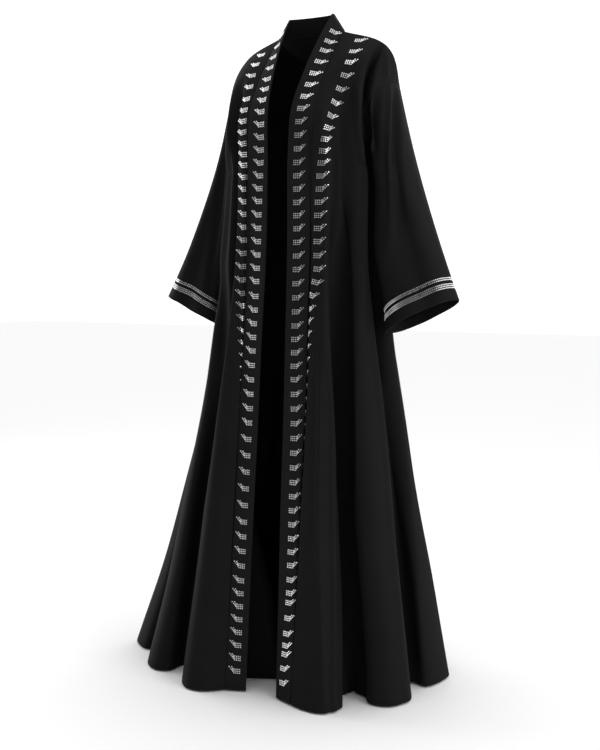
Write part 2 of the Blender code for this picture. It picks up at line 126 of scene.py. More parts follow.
RIGHT_FOLDS = (
    (0.00, 0.082, -0.238, -0.70, 1.0),
    (0.08, 0.122, -0.268, -0.40, 1.0),
    (0.15, 0.165, -0.268, -0.35, 1.0),
    (0.21, 0.193, -0.232, -0.35, 1.0),
    (0.26, 0.158, -0.198, -0.40, 1.1),
    (0.31, 0.105, -0.172, -0.45, 1.2),
    (0.36, 0.056, -0.156, -0.45, 1.3),
    (0.40, 0.019, -0.131, -0.45, 1.3),
    (0.43, 0.018, -0.102, -0.45, 1.3),
    (0.47, 0.060, -0.096, -0.45, 1.3),
    (0.52, 0.122, -0.118, -0.45, 1.2),
    (0.57, 0.180, -0.150, -0.45, 1.1),
    (0.62, 0.232, -0.195, -0.45, 1.0),
    (0.68, 0.280, -0.220, -0.45, 1.0),
    (0.75, 0.330, -0.186, -0.50, 1.0),
    (0.82, 0.334, -0.128, -0.50, 1.1),
    (0.91, 0.390, -0.124, -0.50, 1.0),
    (1.00, 0.440, -0.080, -0.60, 1.0),
    (1.14, 0.356, -0.005, -0.55, 1.2),
    (1.28, 0.326, 0.080, -0.50, 1.0),
    (1.43, 0.246, 0.052, -0.50, 1.2),
    (1.57, 0.206, 0.140, -0.45, 1.0),
    (1.71, 0.130, 0.096, -0.50, 1.2),
    (1.85, 0.076, 0.164, -0.50, 1.0),
    (2.00, 0.000, 0.124, -0.50, 1.2),
)
# Upper sections, as handles of a cubic from the inner end (band seam or centre back) to the
# armhole: share, 0 at the shoulder seam and 1 at the armpit; inner x, y, z; outer x, y, z
FRONT_HANDLES = (
    (0.00, 0.057, 0.000, -0.023, 0.010, -0.006, 0.104),
    (0.30, 0.055, -0.012, -0.014, -0.020, -0.020, 0.050),
    (0.60, 0.050, -0.006, -0.006, -0.014, -0.034, 0.010),
    (1.00, 0.049, 0.000, 0.000, 0.000, -0.079, 0.000),
)
BACK_HANDLES = (
    (0.00, 0.070, 0.020, 0.010, -0.040, 0.000, 0.080),
    (0.30, 0.080, 0.006, 0.000, -0.030, 0.016, 0.046),
    (0.60, 0.085, 0.002, 0.000, -0.020, 0.018, 0.010),
    (1.00, 0.091, 0.000, 0.000, 0.000, 0.057, 0.000),
)
# The centre back seam above the armpit level: share, y, z
BACK_MIDDLE = (
    (0.00, NECK_FOOT[1], NECK_FOOT[3]),
    (0.30, 0.092, -0.075),
    (0.60, 0.106, -0.165),
    (1.00, 0.104, ARMPIT_Z),
)
# Soft folds along the sleeve: turn in degrees from the outer line towards the front; height;
# share of the sleeve's length where it begins
SLEEVE_FOLDS = (
    (60.0, 0.006, 0.15),
    (90.0, -0.006, 0.05),
    (120.0, 0.003, 0.25),
    (210.0, -0.006, 0.10),
    (240.0, 0.005, 0.20),
    (300.0, -0.006, 0.15),
)

# ---- curves ----
def curve_through(knots, values, at):
    """Smooth curve through rows of values, as a cubic with averaged slopes."""
    at = np.atleast_1d(at)
    step = np.diff(knots)
    rise = np.diff(values, axis=0) / step[:, None]
    slope = np.empty_like(values)
    slope[0] = rise[0]
    slope[-1] = rise[-1]
    ahead = step[:-1, None]
    behind = step[1:, None]
    slope[1:-1] = (rise[:-1] * behind + rise[1:] * ahead) / (ahead + behind)
    index = np.clip(np.searchsorted(knots, at, side="right") - 1, 0, len(step) - 1)
    width = step[index][:, None]
    x = ((at - knots[index]) / step[index])[:, None]
    start = (1 + 2 * x) * (1 - x) ** 2 * values[index] + x * (1 - x) ** 2 * width * slope[index]
    end = x * x * (3 - 2 * x) * values[index + 1] - x * x * (1 - x) * width * slope[index + 1]
    return start + end


def table_row(table, at):
    """One smooth row of a table whose first column is its knot."""
    rows = np.asarray(table, float)
    if rows[0, 0] > rows[-1, 0]:
        rows = rows[::-1]
    return curve_through(rows[:, 0], rows[:, 1:], at)[0]


def lengths(points):
    """How far along a curve each of its points lies."""
    return np.r_[0, np.cumsum(np.linalg.norm(np.diff(points, axis=0), axis=1))]


def read_off(at, run, points):
    """Points of a curve at places along it, where run gives each point's own place."""
    return np.stack([np.interp(at, run, points[:, k]) for k in range(3)], axis=1)


def spaced_evenly(points, count):
    """The same curve with its points at equal distances."""
    run = lengths(points)
    return read_off(np.linspace(0, run[-1], count), run, points)


def cubic(start, handle_in, handle_out, end, count=SAMPLES):
    """Bezier cubic, spaced evenly; the handles are given from their own ends."""
    start, end = np.asarray(start, float), np.asarray(end, float)
    first, second = start + handle_in, end + handle_out
    share = np.linspace(0, 1, SAMPLES)[:, None]
    rest = 1 - share
    return spaced_evenly(rest**3 * start + 3 * rest**2 * share * first
                         + 3 * rest * share**2 * second + share**3 * end, count)


def looked_up(table, at):
    """Straight runs between a table's pairs of place and value."""
    return np.interp(at, *np.array(table).T)


def softened(line, rounds):
    """The line with its corners rounded off, in place; its ends stay."""
    for _ in range(rounds):
        line[1:-1] = (line[:-2] + 2 * line[1:-1] + line[2:]) / 4
    return line


def unit(rows):
    return rows / np.linalg.norm(rows, axis=-1, keepdims=True)


def smooth_step(x):
    x = np.clip(x, 0, 1)
    return x * x * (3 - 2 * x)


# ---- the upper body ----
def armhole(side, turn, back=False):
    """Point on an armhole, drawn as the left one: turn 0 at the shoulder tip, pi at the armpit."""
    tip, pit = np.array(SHOULDER_TIP[side]), np.array(ARMPIT)
    depth = ARMHOLE_BACK if back else -ARMHOLE_FRONT
    sweep = math.sin(turn)
    return ((tip + pit) / 2 + (tip - pit) / 2 * math.cos(turn)
            + np.array([0, depth * sweep, 0]) + np.array(ARMHOLE_SHIFT) * sweep**2)


def neck_line(share, half_width, depth, corner_rise, back_rise):
    """Line round the neck, drawn as a left half: 0 at the centre back, 1 at the shoulder."""
    turn = share * math.pi / 2
    rise = corner_rise + (back_rise - corner_rise) * np.cos(turn)
    return np.stack([half_width * np.sin(turn), depth * np.cos(turn), rise], axis=1)


def front_section(side, share, count):
    """Front, drawn as the left one, from the band seam to the armhole, above the armpit."""
    handles = table_row(FRONT_HANDLES, share).reshape(2, 3)
    return cubic(table_row(BAND_TOP, share)[0:3], *handles, armhole(side, share * math.pi), count)


def back_section(side, share, count):
    """Back, drawn as the left one, from the centre back to the armhole, above the armpit."""
    handles = table_row(BACK_HANDLES, share).reshape(2, 3)
    section = cubic((0, *table_row(BACK_MIDDLE, share)), *handles,
                    armhole(side, share * math.pi, back=True), count)
    neck = neck_line(np.linspace(0, 1, NECK_SPANS + 1), *NECK_FOOT)
    shoulder = front_section(side, 0.0, count - NECK_SPANS)
    top = np.vstack([neck, shoulder[1:]])
    drop = np.linspace(section[0] - top[0], section[-1] - top[-1], count)
    blend = smooth_step(share / YOKE_SHARE)
    return (top + drop) * (1 - blend) + section * blend


# ---- the skirt ----
def level(z):
    """Points of a level: band seam, band edge, left and right side seam, centre back."""
    return np.c_[table_row(LEVELS, z).reshape(5, 2), np.full(5, z)]


def ring_base(side, z, share):
    """Unfolded half ring, drawn as a left half: band seam 0, side seam 1, centre back 2."""
    seam, _, left, right, middle = level(z)
    flank = left if side == "left" else right
    front = cubic(seam, (CORNER_REACH * (flank[0] - seam[0]), 0, 0),
                  (0, CORNER_REACH * (seam[1] - flank[1]), 0), flank)
    back = cubic(flank, (0, CORNER_REACH * (middle[1] - flank[1]), 0),
                 (CORNER_REACH * flank[0], 0, 0), middle)
    half = np.vstack([front, back[1:]])
    return read_off(share, np.linspace(0, 2, len(half)), half)


def ring(side, z, share):
    """Half ring with its folds, which deepen from where each begins down to the hem."""
    folds = np.array(LEFT_FOLDS if side == "left" else RIGHT_FOLDS)
    knots, _, _, start, power = folds.T
    shift = folds[:, 1:3] - ring_base(side, HEM_Z, knots)[:, :2]
    grown = np.clip((start - z) / (start - HEM_Z), 0, 1) ** power
    grown *= smooth_step((start - z) / FOLD_FADE)
    points = ring_base(side, z, share)
    points[:, :2] += curve_through(knots, shift * grown[:, None], share)
    return points


def cuff(side, turn):
    """Point on a cuff's edge, drawn as the left one: turn 0 at its outer end, pi at its inner."""
    inner, outer = np.array(CUFF_INNER[side]), np.array(CUFF_OUTER[side])
    along = outer - inner
    across = np.cross(along / np.linalg.norm(along), (0, 0, 1))
    across /= np.linalg.norm(across)
    lift = np.array([0, 0, CUFF_FRONT_LIFT])
    return ((outer + inner) / 2 + along / 2 * math.cos(turn)
            + (across * CUFF_HALF_DEPTH + lift) * math.sin(turn))


def sleeve_point(side, turn, share):
    """Point on a sleeve, drawn as the left one: turn from the outer line over the front."""
    turn = turn % (2 * math.pi)
    is_back = turn > math.pi
    top = armhole(side, 2 * math.pi - turn if is_back else turn, back=is_back)
    low = cuff(side, turn)
    point = top + (low - top) * share
    swell = math.sin(math.pi * share)
    point[0] -= SLEEVE_HOLLOW * swell * max(0.0, math.cos(turn))
    point[1] += SLEEVE_BOW * swell
    outward = np.array([SLEEVE_TILT[0] * math.cos(turn), -math.sin(turn),
                        SLEEVE_TILT[1] * math.cos(turn)])
    for at, rise, start in SLEEVE_FOLDS:
        away = abs((math.degrees(turn) - at + 180) % 360 - 180) / SLEEVE_FOLD_HALF
        grown = smooth_step((share - start) / SLEEVE_FOLD_FADE)
        point += outward * rise * grown * math.cos(math.pi / 2 * min(1.0, away)) ** 2
    return point


# ---- finer steps ----
SEAM_SLIT = 0.00003  # half the slit between joined pieces
SHELL = 0.0009  # one layer of crepe
BAND_SHELL = 0.0016  # two layers
TURNING = 0.020  # depth of the turned-up hem
CUFF_TURNING = 0.024
# How far the cloth draws in, and how wide: at a seam, at a folded edge, at a pressed and stitched
# line and where a turned-up hem is sewn down
SEAM, HALF_SEAM = (0.0009, 0.0014), (0.00045, 0.0014)
EDGE, PRESSED, SEWN, PLAIN = (0.0005, 0.0010), (0.00045, 0.0012), (0.00027, 0.0012), (0.0, 1.0)
# The first and last column of each piece, and its first and last row
RIMS = {
    "front": (SEAM, SEAM, SEAM, EDGE),
    "back": (SEAM, SEAM, SEAM, EDGE),
    "band": (EDGE, SEAM, HALF_SEAM, EDGE),
    "band_neck": (SEAM, SEAM, EDGE, SEAM),
    "sleeve": (PLAIN, PLAIN, SEAM, EDGE),
}
TURNING_RAMP = 0.0012  # over which the wall grows to two layers at a turning
FOLD_LINE = 0.0120  # on the bands, from the free edge
TAPE = (-0.0035, 0.0310)  # on the fronts, from the first studs: the strip of the outer motifs

HEM_GAPS = (0.0225, 0.0212, 0.0200, 0.0188, 0.0175, 0.0135, 0.0090, 0.0050, 0.0025, 0.0010, 0.0)
EDGE_GAPS = (0.0, 0.0007, 0.0014, 0.0024, 0.0042)
SHARES = np.r_[0, 0.0025, 0.005, 0.009, np.linspace(0.015, 1, 46)]
EVEN_ROWS, EVEN_CLEAR = 112, 0.006  # rows of the skirt above its turning, and how near they end
HEIGHTS = np.r_[np.linspace(ARMPIT_Z, HEM_Z + TURNING + EVEN_CLEAR, EVEN_ROWS)[1:],
                HEM_Z + np.array(HEM_GAPS)]
DOWNS = np.r_[SHARES, 1 + (HEIGHTS - ARMPIT_Z) / (HEM_Z - ARMPIT_Z)]
SLEEVE_SHARES = np.r_[0, 0.0018, 0.0036, 0.006, 0.010, np.linspace(0.016, 0.93, 84),
                      np.linspace(0.936, 1, 22)]
NECK_SHARES = np.r_[0, 0.015, 0.03, np.linspace(0.06, 0.94, 26), 0.97, 0.985, 1]
NECK_STEPS = 41
TURNS = np.r_[SHARES, 2 - SHARES[-2:0:-1]] * math.pi
NECK_SPANS = 54  # of the fine back section, which has nine steps to each solid column
ROW_SPANS = 324
BACK_EVEN, FRONT_EVEN, BAND_EVEN = 132, 150, 20
MIRROR = np.array([-1.0, 1.0, 1.0])
FRONT_FINER = 3  # the fronts are creased on steps this much finer


# Distances from the first edge of a front and of a band, close together where its lines are
FRONT_NEAR = np.r_[EDGE_GAPS, np.arange(0.0058, 0.0780, 0.0013)]
FOLD_STEPS = np.array([-0.0020, -0.0012, -0.0006, 0.0, 0.0006, 0.0012, 0.0020])
BAND_NEAR = np.r_[EDGE_GAPS, 0.0072, np.round(FOLD_LINE + FOLD_STEPS, 5)]
# The deep fold beside each band, into which the strip of the outer motifs turns: how far down, and
# how much cloth it takes.
TUCK = {
    "left": ((0.6, 0.0), (0.98, 0.004), (1.05, 0.006), (1.115, 0.0085), (1.16, 0.011),
        (1.195, 0.013), (1.215, 0.016), (1.236, 0.024), (1.26, 0.031), (1.276, 0.034), (1.3, 0.038),
        (1.357, 0.041), (1.397, 0.045), (1.438, 0.047), (1.519, 0.05), (1.57, 0.056), (2.0, 0.064)),
    "right": ((0.6, 0.0), (0.98, 0.007), (1.034, 0.01), (1.08, 0.013), (1.14, 0.017),
        (1.195, 0.021), (1.22, 0.024), (1.245, 0.028), (1.27, 0.031), (1.29, 0.034), (1.317, 0.038),
        (1.34, 0.041), (1.365, 0.045), (1.39, 0.049), (1.46, 0.052), (1.55, 0.057), (2.0, 0.064)),
}
TUCK_WAY = np.array([-0.50, 0.866, 0.0])  # back, and under the band
TUCK_MOUTH = ((1.45, 0.0046), (1.65, 0.0030), (1.95, 0.0012))  # (down, width)
TAPE_SEEN = 1.45  # how far down the outer edge of that strip shows
TUCK_STEP = 0.0004
TUCK_LEAST, TUCK_FULL = 0.0005, 0.007  # the depths at which it begins, and has its whole mouth
TUCK_REACH, TUCK_REST = 0.11, 260  # the first stretch, at TUCK_STEP, and steps in the rest
TUCK_SOFT, TUCK_ROUNDS = 0.10, 6  # the stretch that is smoothed, and how often
TUCK_BEND = 9  # points round its inner end


def spread(points, near, count, far):
    """A curve read at fixed distances from its start, then evenly, then at fixed ones at its end."""
    run = lengths(points)
    even = np.linspace(near[-1], run[-1] - max(far), count + 1)[1:-1]
    return read_off(np.r_[near, even, run[-1] - np.sort(far)[::-1]], run, points)


def height(down):
    """Level of a row of the skirt: down 1 at the armpit level and 2 at the hem."""
    return ARMPIT_Z + (HEM_Z - ARMPIT_Z) * (down - 1)


def row_of(kind, side, down):
    """A row of the front or back: down 0 at the shoulder, 1 at the armpit level, 2 at the hem."""
    back = kind == "back"
    if down <= 1:
        return (back_section if back else front_section)(side, down, ROW_SPANS + 1)
    share = np.linspace(0, 1, SAMPLES * 2) + (1 if back else 0)
    row = spaced_evenly(ring(side, height(down), share), ROW_SPANS + 1)
    return row[::-1] if back else row


def tucked(row, side, down):
    """A row of the front with the deep fold beside the band let in after its first point."""
    depth = looked_up(TUCK[side], down) / 2
    if depth < TUCK_LEAST:
        return row
    mouth = looked_up(TUCK_MOUTH, down) * smooth_step(depth / TUCK_FULL)
    run = lengths(row)
    after = read_off([max(mouth, TUCK_LEAST)], run, row)[0]
    across = after - row[0]
    turn = np.linspace(math.pi, 0, TUCK_BEND)[:, None]
    bend = row[0] + across / 2 + TUCK_WAY * max(depth - mouth / 2, 0.0) \
        + across / 2 * np.cos(turn) + TUCK_WAY * mouth / 2 * np.sin(turn)
    raw = np.vstack([row[:1], bend, after, row[run > mouth + TUCK_LEAST]])
    total = lengths(raw)
    fine = np.r_[np.arange(0, TUCK_REACH, TUCK_STEP), np.linspace(TUCK_REACH, total[-1], TUCK_REST)]
    soft = read_off(fine, total, raw)
    softened(soft[:int(TUCK_SOFT / TUCK_STEP) + 1], TUCK_ROUNDS)
    return soft


def front_fine(side):
    return np.array([spread(tucked(row_of("front", side, down), side, down), FRONT_NEAR,
                            FRONT_EVEN * FRONT_FINER, EDGE_GAPS) for down in DOWNS])


def back_fine(side):
    return np.array([spread(row_of("back", side, down), EDGE_GAPS, BACK_EVEN, EDGE_GAPS)
                     for down in DOWNS])


def band_fine(side):
    rows = []
    for down in DOWNS:
        if down <= 1:
            sizes = table_row(BAND_TOP, down)
            edge, seam = sizes[3:6], sizes[0:3]
        else:
            z = height(down)
            edge, seam = level(z)[1], ring(side, z, np.array([0.0]))[0]
        rows.append(spread(np.linspace(edge, seam, SAMPLES), BAND_NEAR, BAND_EVEN, EDGE_GAPS))
    return np.array(rows)


def neck_fine():
    share = np.linspace(0, 1, NECK_STEPS)
    foot, top = (neck_line(share, *line)[::-1] for line in (NECK_FOOT, NECK_TOP))
    halves = [top + (foot - top) * lower for lower in NECK_SHARES]
    return np.array([np.vstack([half, (half * MIRROR)[-2::-1]]) for half in halves])


def sleeve_fine(side):
    return np.array([[sleeve_point(side, turn, share) for turn in TURNS] for share in SLEEVE_SHARES])


def mirrored(grid, side):
    return grid if side == "left" else grid * MIRROR


# ---- creases ----
# Soft ridges and troughs of each piece: half width; then places as across, down and height in mm.
# Across is 0 at the band seam or centre back and 1 at the armhole or side seam; down is 0 at the
# shoulder, 1 at the armpit level and 2 at the hem.  On a sleeve, across is the turn in degrees and
# down the share to the cuff.
CREASES = {
    "front_left": (
        (0.012, ((0.52, 0.02, 0), (0.59, 0.12, -14), (0.68, 0.22, -24), (0.82, 0.33, -30),
            (0.94, 0.42, -32), (1.0, 0.54, -32), (1.0, 0.72, -30), (0.99, 0.9, -22))),
        (0.028, ((0.97, 0.75, 0), (0.93, 0.95, -20), (0.87, 1.06, -32), (0.84, 1.2, -38),
            (0.845, 1.32, -32), (0.85, 1.42, 0))),
        (0.013, ((0.46, 0.12, 0), (0.56, 0.28, 4), (0.7, 0.42, 6), (0.84, 0.56, 7), (0.84, 0.78, 7),
            (0.71, 1.0, 7), (0.67, 1.12, 6), (0.66, 1.3, 0))),
        (0.044, ((0.44, 0.22, 0), (0.47, 0.42, -14), (0.465, 0.6, -20), (0.45, 0.85, -25),
            (0.42, 1.05, -30), (0.398, 1.2, -36), (0.4, 1.36, -42), (0.39, 1.55, -49),
            (0.35, 1.7, -52), (0.322, 1.85, -49), (0.29, 2.0, -36))),
        (0.014, ((0.24, 1.22, 0), (0.235, 1.35, 4), (0.225, 1.5, 6), (0.2, 1.75, 6),
            (0.18, 2.0, 5))),
        (0.009, ((0.125, 1.32, 0), (0.125, 1.45, 3), (0.12, 1.6, 4), (0.13, 1.8, 4),
            (0.145, 2.0, 3))),
        (0.022, ((0.755, 1.2, 0), (0.765, 1.36, 8), (0.765, 1.5, 9), (0.74, 1.6, 8), (0.7, 1.72, 5),
            (0.67, 1.85, 3), (0.65, 2.0, 2))),
        (0.037, ((0.86, 1.12, 0), (0.87, 1.3, -20), (0.87, 1.5, -31), (0.86, 1.6, -36),
            (0.828, 1.73, -38), (0.802, 1.85, -36), (0.78, 2.0, -32))),
        (0.01, ((0.56, 0.02, 0), (0.7, 0.08, 3), (0.9, 0.14, 4))),
    ),
    "sleeve_left": (
        (0.009, ((22, 0.01, 2), (34, 0.07, 6), (56, 0.18, 7), (76, 0.28, 7), (98, 0.39, 6),
            (112, 0.53, 4), (120, 0.66, 0))),
        (0.017, ((8, 0.02, 0), (18, 0.09, -9), (36, 0.2, -13), (58, 0.31, -12), (74, 0.43, -8),
            (94, 0.58, 0))),
        (0.02, ((58, 0.0, -6), (66, 0.03, -14), (82, 0.06, -18), (96, 0.1, -15), (108, 0.14, -7),
            (116, 0.18, 0))),
        (0.045, ((140, 0.14, 0), (141, 0.24, 5), (143, 0.36, 13), (144, 0.48, 21), (146, 0.6, 22),
            (152, 0.74, 13), (158, 0.9, 0))),
        (0.016, ((302, 0.03, 0), (288, 0.14, -7), (274, 0.28, -9), (262, 0.45, -6),
            (256, 0.62, 0))),
    ),
    "front_right": (
        (0.022, ((0.44, 0.3, 0), (0.41, 0.5, -14), (0.36, 0.7, -32), (0.27, 0.88, -44),
            (0.25, 0.98, -48), (0.26, 1.07, -48), (0.25, 1.18, -46), (0.25, 1.26, -44),
            (0.23, 1.36, -42), (0.215, 1.46, -36), (0.2, 1.56, -20), (0.2, 1.66, 0))),
        (0.022, ((0.64, 0.25, 0), (0.62, 0.5, 8), (0.57, 0.8, 12), (0.55, 1.0, 14),
            (0.56, 1.15, 14), (0.61, 1.28, 9), (0.66, 1.38, 3), (0.68, 1.46, 0))),
        (0.042, ((0.57, 1.4, 0), (0.59, 1.5, -14), (0.62, 1.65, -30), (0.64, 1.75, -37),
            (0.65, 1.85, -40), (0.655, 2.0, -40))),
        (0.034, ((0.84, 1.45, 0), (0.85, 1.7, -22), (0.86, 1.85, -26), (0.88, 2.0, -28))),
        (0.03, ((0.4, 1.7, 0), (0.395, 1.82, -12), (0.39, 1.92, -18), (0.39, 2.0, -18))),
    ),
    "sleeve_right": (
        (0.01, ((100, 0.0, 0), (112, 0.11, 5), (124, 0.39, 6), (134, 0.59, 5), (150, 0.85, 0))),
        (0.018, ((60, 0.02, 0), (80, 0.12, -9), (96, 0.35, -12), (108, 0.56, -11), (120, 0.76, -6),
            (128, 0.92, 0))),
        (0.016, ((296, 0.04, 0), (284, 0.16, -7), (270, 0.34, -9), (258, 0.55, -6),
            (250, 0.72, 0))),
    ),
    # the back
    "back_left": (
        (0.032, ((0.33, 0.25, 0), (0.36, 0.5, -6), (0.39, 0.8, -9), (0.42, 1.05, -8),
            (0.44, 1.35, 0))),
        (0.022, ((0.92, 0.45, 0), (0.87, 0.7, -8), (0.81, 0.95, -12), (0.76, 1.15, -10),
            (0.74, 1.38, 0))),
        (0.028, ((0.62, 1.1, 0), (0.62, 1.38, -10), (0.63, 1.7, -15), (0.64, 2.0, -15))),
        (0.022, ((0.2, 1.28, 0), (0.2, 1.5, -6), (0.21, 1.75, -9), (0.22, 2.0, -9))),
    ),
    "back_right": (
        (0.03, ((0.3, 0.32, 0), (0.28, 0.6, -6), (0.26, 0.92, -8), (0.25, 1.18, -5),
            (0.25, 1.4, 0))),
        (0.022, ((0.93, 0.4, 0), (0.88, 0.68, -8), (0.82, 0.95, -12), (0.78, 1.22, -9),
            (0.76, 1.45, 0))),
        (0.03, ((0.5, 1.16, 0), (0.5, 1.44, -10), (0.5, 1.72, -15), (0.49, 2.0, -15))),
        (0.024, ((0.12, 1.35, 0), (0.13, 1.58, -6), (0.14, 1.8, -9), (0.15, 2.0, -9))),
    ),
}
OWN_FROM = 0.10  # a crease that begins this far down a sleeve stays on the sleeve
FADE_FROM, FADE_LENGTH = 0.12, 0.23  # and one of the body fades out here down the sleeve
PATH_STEPS, PATH_ROUNDS = 24, 40  # steps from place to place on a crease, and its smoothing
WAY_ROUNDS = 260  # of smoothing, for the ways in which the fronts' creases go
DEEP, DEEP_ROUNDS = 0.012, 90  # and for what lies deeper than this
WANDER = ((0.0007, (9.0, 4.0, 3.0), 0.4), (0.0005, (-5.0, 13.0, 7.0), 2.1),
          (0.0004, (17.0, -8.0, 11.0), 4.4), (0.0003, (23.0, 19.0, -16.0), 1.3))


def place(piece, across, down):
    kind, side = piece.split("_")
    if kind == "sleeve":
        point = sleeve_point(side, math.radians(across), down)
    else:
        row = row_of(kind, side, down)
        run = lengths(row)
        point = read_off([across * run[-1]], run, row)[0]
    return mirrored(point, side)


def eased(rows, share, rounds):
    """Rows of points or normals, smoothed along each row except at its ends."""
    for _ in range(rounds):
        step = (rows[:, :-2] - 2 * rows[:, 1:-1] + rows[:, 2:]) / 4
        rows[:, 1:-1] += step * share[:, 1:-1, None]
    return rows


def crease_paths():
    """Each crease's piece, points, half width and depths, and whether it stays on its piece."""
    paths = []
    for piece, creases in CREASES.items():
        for width, knots in creases:
            across, down, depth = (smooth_line(values) for values in np.array(knots, float).T)
            points = np.array([place(piece, a, d) for a, d in zip(across, down)])
            own = piece.startswith("sleeve") and down.min() >= OWN_FROM
            paths.append((piece, points, width, depth / 1000, own))
    return paths


def smooth_line(values):
    """Straight runs between the values, in fine steps, with their corners rounded off."""
    last = len(values) - 1
    line = np.interp(np.linspace(0, last, PATH_STEPS * last + 1), np.arange(last + 1), values)
    return softened(line, PATH_ROUNDS)


def relief(name, points, paths):
    """How far each point moves along its normal: the creases that reach it, and a slight wander."""
    flat = points.reshape(-1, 3)
    moved = sum(size * np.sin(flat @ np.array(wave) + phase) for size, wave, phase in WANDER)
    reached = np.ones(points.shape[:-1])
    if name.startswith("sleeve"):
        reached *= 1 - smooth_step((SLEEVE_SHARES[:, None] - FADE_FROM) / FADE_LENGTH)
    reached = reached.ravel()
    for piece, path, width, depth, own in paths:
        if own and name != piece:
            continue
        low, high = path.min(0) - width, path.max(0) + width
        near = np.flatnonzero(np.all((flat > low) & (flat < high), axis=1))
        if not len(near):
            continue
        away, deep = reach(flat[near], path, depth)
        lift = deep * np.cos(np.minimum(away / width, 1) * math.pi / 2) ** 2
        moved[near] += lift if piece.startswith("sleeve") else lift * reached[near]
    return moved.reshape(points.shape[:-1])


def reach(points, path, depth):
    """Each point's distance to a crease's path, and the crease's depth there."""
    which = np.linalg.norm(points[:, None] - path[None], axis=2).argmin(axis=1)
    away, deep = np.full(len(points), np.inf), np.zeros(len(points))
    for start in (np.maximum(which - 1, 0), np.minimum(which, len(path) - 2)):
        run = path[start + 1] - path[start]
        along = np.clip(np.sum((points - path[start]) * run, axis=1) / np.sum(run * run, axis=1), 0, 1)
        gap = np.linalg.norm(points - path[start] - along[:, None] * run, axis=1)
        closer = gap < away
        away[closer] = gap[closer]
        deep[closer] = (depth[start] + along * (depth[start + 1] - depth[start]))[closer]
    return away, deep


# ---- shells ----
def normals_of(cloth):
    grid = cloth["grid"]
    if cloth["closed"]:
        along = np.roll(grid, -1, axis=1) - np.roll(grid, 1, axis=1)
    else:
        along = np.gradient(grid, axis=1)
    return unit(np.cross(along, np.gradient(grid, axis=0)) * cloth["facing"])


def share_normals(cloths, near=0.004):
    """Along each seam the pieces take the mean of their normals."""
    rims = {}
    for name, cloth in cloths.items():
        mask = np.zeros(cloth["grid"].shape[:2], bool)
        mask[[0, -1]] = True
        mask[:, [0, -1]] |= not cloth["closed"]
        tree = KDTree(int(mask.sum()))
        for index, point in enumerate(cloth["grid"][mask]):
            tree.insert(point, index)
        tree.balance()
        rims[name] = (mask, tree, cloth["normal"][mask].copy())
    for name, (mask, _, own) in rims.items():
        total = own.copy()
        for index, point in enumerate(cloths[name]["grid"][mask]):
            for other, (_, tree, normals) in rims.items():
                if other != name:
                    _, nearest, apart = tree.find(point)
                    if apart < near:
                        total[index] += normals[nearest]
        cloths[name]["normal"][mask] = unit(total)


def from_edges(grid):
    """Distance of each point from the first and last column, and from the first and last row."""
    down, across = (np.insert(np.linalg.norm(np.diff(grid, axis=way), axis=2).cumsum(axis=way), 0, 0,
                              axis=way) for way in (0, 1))
    return across, across[:, -1:] - across, down, down[-1:] - down


def dip(away, depth, width):
    return depth * np.exp(-(away / width) ** 2)


def finish_face(name, cloth):
    """Seams draw in, folded edges round off, and pressed lines and tapes show."""
    kind = name.split("_")[0]
    away = from_edges(cloth["grid"])
    first, bottom = away[0], away[3]
    sunk = sum(dip(gap, *rim) for gap, rim in zip(away, RIMS.get(name) or RIMS[kind]))
    turning = CUFF_TURNING if kind == "sleeve" else TURNING
    if kind != "band":
        sunk += dip(bottom - turning, *SEWN)
    elif name != "band_neck":
        sunk += dip(first - FOLD_LINE, *PRESSED)
    if kind == "front":
        start = column_start(name, cloth)[:, None]
        sunk += sum(dip(first - start - line, *PRESSED) for line in TAPE)
    wall = np.full(sunk.shape, BAND_SHELL)
    if kind != "band":
        wall = SHELL + SHELL * smooth_step((turning - bottom) / TURNING_RAMP + 0.5)
    cloth["face"] = cloth["grid"] - cloth["normal"] * sunk[..., None]
    cloth["back"] = cloth["face"] - cloth["normal"] * wall[..., None]


def draw_in(grid, closed, half):
    """Moves the cut edges inwards, square to each edge, by half the gap between pieces."""
    moved = np.zeros_like(grid)
    ways = ((grid, moved), (grid.swapaxes(0, 1), moved.swapaxes(0, 1)))
    for sheet, shift in ways[:1 if closed else 2]:
        for edge, inner in ((0, 1), (-1, -2)):
            run = unit(np.gradient(sheet[edge], axis=0))
            way = sheet[inner] - sheet[edge]
            shift[edge] += half * unit(way - run * np.sum(way * run, axis=1, keepdims=True))
    return moved


def put(name, data):
    """A new object of the data, in the scene."""
    thing = bpy.data.objects.new(name, data)
    bpy.context.scene.collection.objects.link(thing)
    return thing


def mesh_object(name, points, faces, material, sharp=40.0):
    mesh = bpy.data.meshes.new(name)
    mesh.from_pydata(np.asarray(points).tolist(), [], np.asarray(faces).tolist())
    mesh.materials.append(material)
    mesh.shade_smooth()
    mesh.set_sharp_from_angle(angle=math.radians(sharp))
    return put(name, mesh)


def grid_faces(rows, columns, closed):
    number = np.arange(rows * columns).reshape(rows, columns)
    if closed:
        number = np.concatenate([number, number[:, :1]], axis=1)
    a, b, c, d = number[:-1, :-1], number[:-1, 1:], number[1:, 1:], number[1:, :-1]
    return number, np.stack([a, b, c, d], axis=-1).reshape(-1, 4)


def shell_faces(rows, columns, closed):
    number, face = grid_faces(rows, columns, closed)
    count = rows * columns
    loops = [number[0][::-1], number[-1]]
    if not closed:
        loops += [number[:, 0], number[:, -1][::-1]]
    rims = [np.stack([loop[:-1], loop[:-1] + count, loop[1:] + count, loop[1:]], axis=-1)
            for loop in loops]
    return np.vstack([face, face[:, ::-1] + count] + rims)


